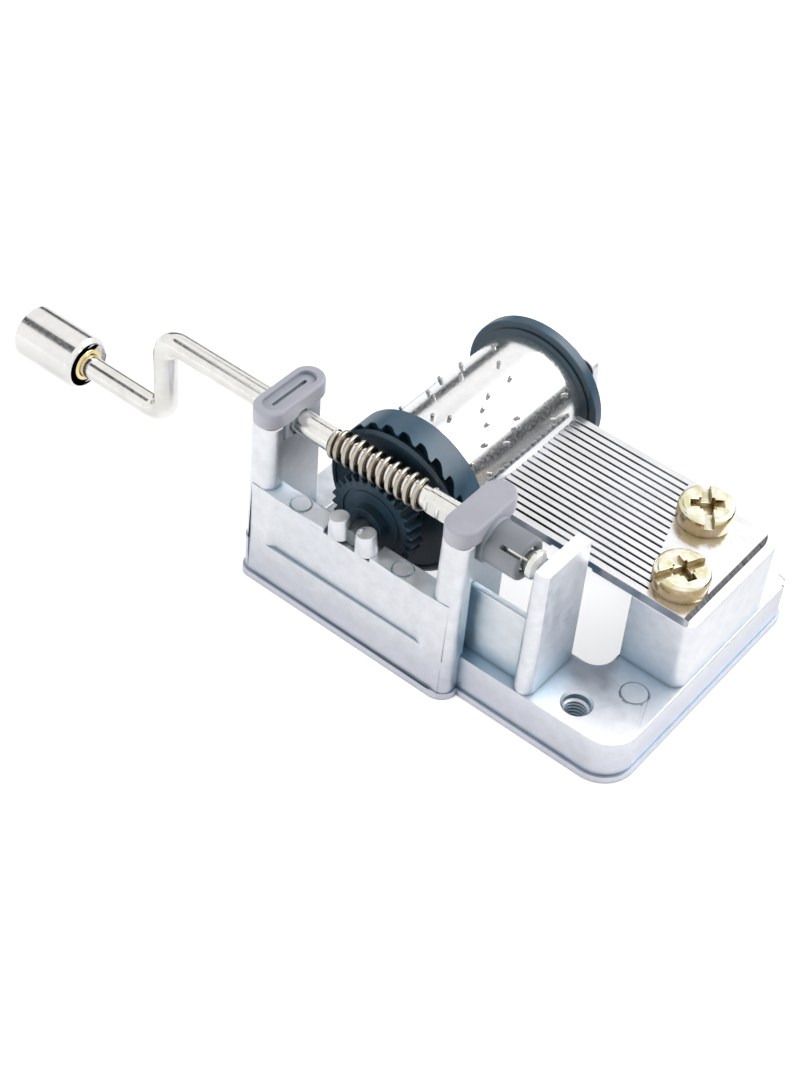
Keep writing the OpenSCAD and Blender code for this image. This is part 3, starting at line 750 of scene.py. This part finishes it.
def makeCasting(sizes, thread):
    x, y = mountAt["case_screw"]["pos_m"][:2]
    piece = copyNode("bedplate", "bedplate_casting", flatten=False)
    middle = (thread["top"] - thread["below"]) / 2
    cutOut(piece, addRod("bore", (x, y, middle), thread["outer"], thread["top"] + thread["below"]))
    for markX, markY, markZ, radius in sizes["marks"]:
        bpy.ops.mesh.primitive_torus_add(
            location=(markX * mm, markY * mm, markZ * mm), major_radius=radius * mm,
            minor_radius=sizes["groove"], major_segments=48, minor_segments=10)
        cutOut(piece, bpy.context.object)
    moveCorners(piece, sizes)
    joinCoplanar(piece, sizes["joinAbove"])
    roundEdges(piece, sizes["edge"], segments=3, above=sizes["edgeAbove"])
    shade(piece)
    dress(piece, "frame", "cast_zinc", finishes["cast_zinc"], "bedplate")


makeCasting(casting, holeThread)
print("bedplate made")

# Two studs staked over the arbor, their tops spread outward and slanted

forkStuds = {
    "places": [(-12.07, -16.3), (-8.45, -16.3)],
    "tilt": 9,
    "radius": 0.86 * mm,
    "foot": 12.6 * mm,
    "top": 15.95 * mm,
    "head": 0.75 * mm,
    "flare": 1.26,
    "shift": 0.32 * mm,
    "edge": 0.10 * mm,
}


def makeStud(sizes, number, x, y):
    height = sizes["top"] - sizes["head"] - sizes["foot"]
    stud = addRod("fork_stud_%d" % number, (x, y, sizes["foot"] + height / 2), sizes["radius"], height)
    for face in stud.data.polygons:
        face.select = face.normal.z > levelShare
    choose(stud)
    bpy.ops.object.mode_set(mode="EDIT")
    bpy.ops.mesh.select_mode(type="FACE")
    bpy.ops.mesh.extrude_region_move(TRANSFORM_OT_translate={"value": (sizes["shift"], 0, sizes["head"])})
    middle = (x + sizes["shift"], y, sizes["top"])
    bpy.ops.transform.resize(value=(sizes["flare"], sizes["flare"], 1), center_override=middle)
    bpy.ops.transform.rotate(value=radians(sizes["tilt"]), orient_axis="Y", center_override=middle)
    bpy.ops.object.mode_set(mode="OBJECT")
    roundEdges(stud, sizes["edge"], angle=20)
    shade(stud)
    dress(stud, "frame", "cast_zinc", finishes["cast_zinc"])


for number, (studX, studY) in enumerate(forkStuds["places"], 1):
    makeStud(forkStuds, number, studX * mm, studY * mm)
print("fork studs made")

# Thread of the mounting hole: one tooth, wound up the hole


def makeThread(sizes):
    mount = mountAt["case_screw"]
    x, y = mount["pos_m"][:2]
    core = mount["dims"]["r_mm"] * mm
    middle = (sizes["outer"] + core) / 2
    bpy.ops.mesh.primitive_plane_add(size=1, location=(middle, 0, 0), rotation=(radians(90), 0, 0))
    thread = bpy.context.object
    thread.name = "hole_thread"
    thread.scale = (sizes["outer"] - core + sizes["sunk"], sizes["pitch"] * sizes["thick"], 1)
    applyPlace(thread)
    for corner in thread.data.vertices:
        if corner.co.x < middle:
            corner.co.z *= sizes["crest"]
    turns = int(sizes["top"] / sizes["pitch"]) - 1
    applyModifier(thread, "SCREW", axis="Z", angle=radians(360), screw_offset=sizes["pitch"],
                  iterations=turns, steps=sizes["steps"], render_steps=sizes["steps"],
                  use_normal_calculate=True)
    thread.location = (x, y, sizes["start"])
    applyPlace(thread)
    closeUp(thread)
    shade(thread, angle=30)
    dress(thread, "frame", "cast_zinc", finishes["cast_zinc"])


makeThread(holeThread)
print("thread made")

# The comb's near slots run on under the screws' heads

combSlots = {
    "count": 9,
    "front": -4.10 * mm,
    "pitch": 0.95 * mm,
    "width": 0.28 * mm,
    "top": 16.05 * mm,
    "start": 12 * mm,
    "longest": 17.75 * mm,  # where the first slot ends, and how much shorter each next one is
    "step": 0.37 * mm,
    "cutHeight": 6 * mm,
}


def cutSlots(comb, sizes):
    start = sizes["start"]
    for number in range(sizes["count"]):
        end = sizes["longest"] - number * sizes["step"]
        y = sizes["front"] + (number + 1) * sizes["pitch"]
        extents = (end - start, sizes["width"], sizes["cutHeight"])
        cutOut(comb, addBox("slot", ((start + end) / 2, y, sizes["top"]), extents))
    joinCoplanar(comb)


# The caps stand a little prouder on the posts than the solids do

capSwell = {
    "seat": 21.78 * mm,
    "middleY": -12.1 * mm,
    "long": 1.06,
    "wide": 1.05,
    "thick": 1.19,
}


def swellCap(cap, sizes):
    low = min(corner.co.x for corner in cap.data.vertices)
    high = max(corner.co.x for corner in cap.data.vertices)
    middle = (low + high) / 2
    for corner in cap.data.vertices:
        if corner.co.z > sizes["seat"]:
            corner.co.x = middle + (corner.co.x - middle) * sizes["wide"]
            corner.co.y = sizes["middleY"] + (corner.co.y - sizes["middleY"]) * sizes["long"]
            corner.co.z = sizes["seat"] + (corner.co.z - sizes["seat"]) * sizes["thick"]


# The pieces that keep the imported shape, with their edges rounded as the real ones' are

roundedPieces = [  # node, piece, body, edge in millimetres, segments
    ("cylinder_arbor", "arbor_rod", "frame", 0.12, 2),
    ("left_bearing_cap", "left_cap", "frame", 0.30, 4),
    ("comb", "comb_plate", "frame", 0.03, 1),
    ("comb_weights", "bass_weights", "frame", 0.06, 1),
    ("comb_dampers", "treble_dampers", "frame", 0.01, 1),
    ("crank_shaft", "crank_wire", "crank", 0.10, 3),
    ("drive_wheel", "worm_wheel", "cylinder", 0.03, 1),
    ("gear_ring", "ring_gear", "cylinder", 0.07, 2),
    ("near_flange", "near_end", "cylinder", 0, 0),  # made truly round instead
    ("cylinder_barrel", "barrel_shell", "cylinder", 0.08, 2),
    ("tune_pins", "barrel_pins", "cylinder", 0.13, 3),
    ("far_flange", "far_end", "cylinder", 0.14, 3),
]
roundSkins = {"near_flange": 8.74 * mm}
skinShare = 0.9965  # share of that radius past which a corner lies on the flat facets


def roundOut(piece, radius):
    # small faces, with the outer ones pushed from the flat facets to the true round
    axis = jointAt["cylinder_turn"]
    applyModifier(piece, "SUBSURF", subdivision_type="SIMPLE", levels=2, render_levels=2)
    for corner in piece.data.vertices:
        reach = Vector((corner.co.x - axis.x, corner.co.z - axis.z))
        if reach.length > radius * skinShare:
            reach *= radius / reach.length
            corner.co.x, corner.co.z = axis.x + reach.x, axis.z + reach.y


def makeRounded(node, pieceName, body, edge, segments):
    isSkin = node in roundSkins
    piece = copyNode(node, pieceName, flatten=not isSkin)
    if node == "comb":
        cutSlots(piece, combSlots)
    if isSkin:
        roundOut(piece, roundSkins[node])
    else:
        roundEdges(piece, edge * mm, segments)
    if node == "left_bearing_cap":
        swellCap(piece, capSwell)
    shade(piece, weighted=not isSkin)
    dress(piece, body, slotOf[node], finishes[slotOf[node]], node)


for entry in roundedPieces:
    makeRounded(*entry)
print("rounded pieces made:", len(roundedPieces))

# Right bearing cap, and its collet with the slit that faces up and forwards

rightCap = {
    "edge": 0.30 * mm,
    "stub": 0.25 * mm,  # what is left of the solid's collet, inside the one made here
    "cutSide": 10 * mm,
}
collet = {
    "left": 4.55 * mm,
    "right": 8.80 * mm,
    "radius": 2.4 * mm,
    "bore": 1.42 * mm,
    "slitLeft": 6.5 * mm,
    "slitWidth": 0.5 * mm,
    "slitTurn": radians(-43),
    "edge": 0.34 * mm,
}


def makeRightCap(sizes, colletLeft):
    shaft = jointAt["crank_turn"]
    side = sizes["cutSide"]
    cap = copyNode("right_bearing_cap", "right_cap", flatten=False)
    cutOut(cap, addBox("cut", (colletLeft + sizes["stub"] + side / 2, shaft.y, shaft.z), (side, side, side)))
    joinCoplanar(cap)
    roundEdges(cap, sizes["edge"], segments=4)
    swellCap(cap, capSwell)
    shade(cap)
    dress(cap, "frame", "nylon", finishes["nylon"], "right_bearing_cap")


def makeCollet(sizes):
    shaft = jointAt["crank_turn"]
    length = sizes["right"] - sizes["left"]
    middle = (sizes["left"] + sizes["right"]) / 2
    place = (middle, shaft.y, shaft.z)
    sleeve = addRod("cap_collet", place, sizes["radius"], length, axis="X", sides=64)
    cutOut(sleeve, addRod("bore", place, sizes["bore"], 2 * length, axis="X"))
    slit = addBox("slit", (0, 0, 0), (length, 3 * sizes["radius"], sizes["slitWidth"]))
    slit.rotation_euler = (sizes["slitTurn"], 0, 0)
    slit.location = (sizes["slitLeft"] + length / 2, shaft.y, shaft.z)
    applyPlace(slit)
    cutOut(sleeve, slit)
    roundEdges(sleeve, sizes["edge"], segments=4, angle=50)
    shade(sleeve)
    # the collet takes the nylon painted darker as shade
    dress(sleeve, "frame", "nylon", finishes["collet_nylon_painted_shade"])


makeRightCap(rightCap, collet["left"])
makeCollet(collet)
print("right cap made")

# Comb screws: pan heads with one long slot across a milled cross

screwHead = {
    "places": [((19.65, -0.25), 64.5), ((16.35, 9.2), 128)],  # middle, turn of the long slot
    "seat": 16.05 * mm,
    "radius": 3.04 * mm,
    "height": 2.1 * mm,
    "rounding": 0.62 * mm,
    "roundingSegments": 7,
    "roundingProfile": 0.55,
    "slotWidth": 1.05 * mm,
    "slotDepth": 0.85 * mm,
    "millRadius": 2.1 * mm,
    "millDepth": 1.05 * mm,
    "pitSide": 1.7 * mm,
    "pitDepth": 1.45 * mm,
    "edge": 0.05 * mm,
}


def roundRim(head, top, sizes):
    rim = [edge.index for edge in head.data.edges
           if all(abs(head.data.vertices[corner].co.z - top) < placeGap for corner in edge.vertices)]
    selectEdges(head, rim)
    bpy.ops.mesh.bevel(offset=sizes["rounding"], segments=sizes["roundingSegments"],
                       profile=sizes["roundingProfile"], affect="EDGES")
    bpy.ops.object.mode_set(mode="OBJECT")


def makeScrew(sizes, number, x, y, turn):
    top = sizes["seat"] + sizes["height"]
    middle = (x, y, sizes["seat"] + sizes["height"] / 2)
    head = addRod("screw_head_%d" % number, middle, sizes["radius"], sizes["height"], sides=96)
    roundRim(head, top, sizes)
    slotExtents = (3 * sizes["radius"], sizes["slotWidth"], 2 * sizes["slotDepth"])
    cutOut(head, addBox("slot", (x, y, top), slotExtents, radians(turn)))
    mill = addRod("mill", (0, 0, 0), sizes["millRadius"], sizes["slotWidth"], axis="Y", sides=64)
    mill.rotation_euler = (0, 0, radians(turn + 90))
    mill.location = (x, y, top - sizes["millDepth"] + sizes["millRadius"])
    applyPlace(mill)
    cutOut(head, mill)
    pitExtents = (sizes["pitSide"], sizes["pitSide"], 2 * sizes["pitDepth"])
    cutOut(head, addBox("pit", (x, y, top), pitExtents, radians(turn)))
    roundEdges(head, sizes["edge"], angle=40)
    shade(head)
    dress(head, "frame", "yellow_zinc", finishes["yellow_zinc"], *(["comb_screws"] if number == 1 else []))


for number, ((screwX, screwY), turn) in enumerate(screwHead["places"], 1):
    makeScrew(screwHead, number, screwX * mm, screwY * mm, turn)
print("screws made")

# Knob, its inner lip and its brass bush

knob = {
    "longer": 0.9 * mm,
    "mouth": 1.6 * mm,  # what lies nearer to the open end than this moves out with it
    "edge": 0.30 * mm,
    "lipOuter": 2.66 * mm,
    "lipInner": 1.98 * mm,
    "lipInset": 0.12 * mm,
    "lipDepth": 0.7 * mm,
    "lipEdge": 0.10 * mm,
    "bushEdge": 0.24 * mm,
}


def makeKnob(sizes):
    pin = jointAt["knob_spin"]
    low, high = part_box("crank_knob")
    shell = copyNode("crank_knob", "knob_shell")
    for corner in shell.data.vertices:
        if corner.co.x < low.x + sizes["mouth"]:
            corner.co.x -= sizes["longer"]
    roundEdges(shell, sizes["edge"], segments=4, angle=25)
    shade(shell, angle=30)
    dress(shell, "knob", "knob_nickel", finishes["knob_nickel"], "crank_knob")

    middle = (high.x - sizes["lipInset"] - sizes["lipDepth"] / 2, pin.y, pin.z)
    lip = addRod("knob_lip", middle, sizes["lipOuter"], sizes["lipDepth"], axis="X", sides=64)
    cutOut(lip, addRod("bore", middle, sizes["lipInner"], 2 * sizes["lipDepth"], axis="X", sides=64))
    roundEdges(lip, sizes["lipEdge"], segments=3)
    shade(lip)
    dress(lip, "knob", "knob_nickel", finishes["knob_nickel"])

    sleeve = copyNode("knob_bush", "knob_sleeve")
    roundEdges(sleeve, sizes["bushEdge"], segments=4)
    shade(sleeve)
    dress(sleeve, "knob", "bush_brass", finishes["bush_brass"], "knob_bush")


makeKnob(knob)
print("knob made")

# Worm: wire wound on the shaft, its first turn closed

wormWire = {
    "swell": -0.015 * mm,
    "quadBend": radians(40),
    "quadShape": radians(60),
    "shading": 80,
}


def makeWorm(sizes):
    piece = copyNode("crank_worm", "worm_wire", flatten=False)
    choose(piece)
    bpy.ops.object.mode_set(mode="EDIT")
    bpy.ops.mesh.select_all(action="SELECT")
    bpy.ops.mesh.tris_convert_to_quads(face_threshold=sizes["quadBend"], shape_threshold=sizes["quadShape"])
    bpy.ops.transform.shrink_fatten(value=sizes["swell"])
    bpy.ops.object.mode_set(mode="OBJECT")
    applyModifier(piece, "SUBSURF", levels=2, render_levels=2)
    shade(piece, angle=sizes["shading"], weighted=False)
    dress(piece, "crank", "worm_steel", finishes["worm_steel"], "crank_worm")


makeWorm(wormWire)
print("worm made")
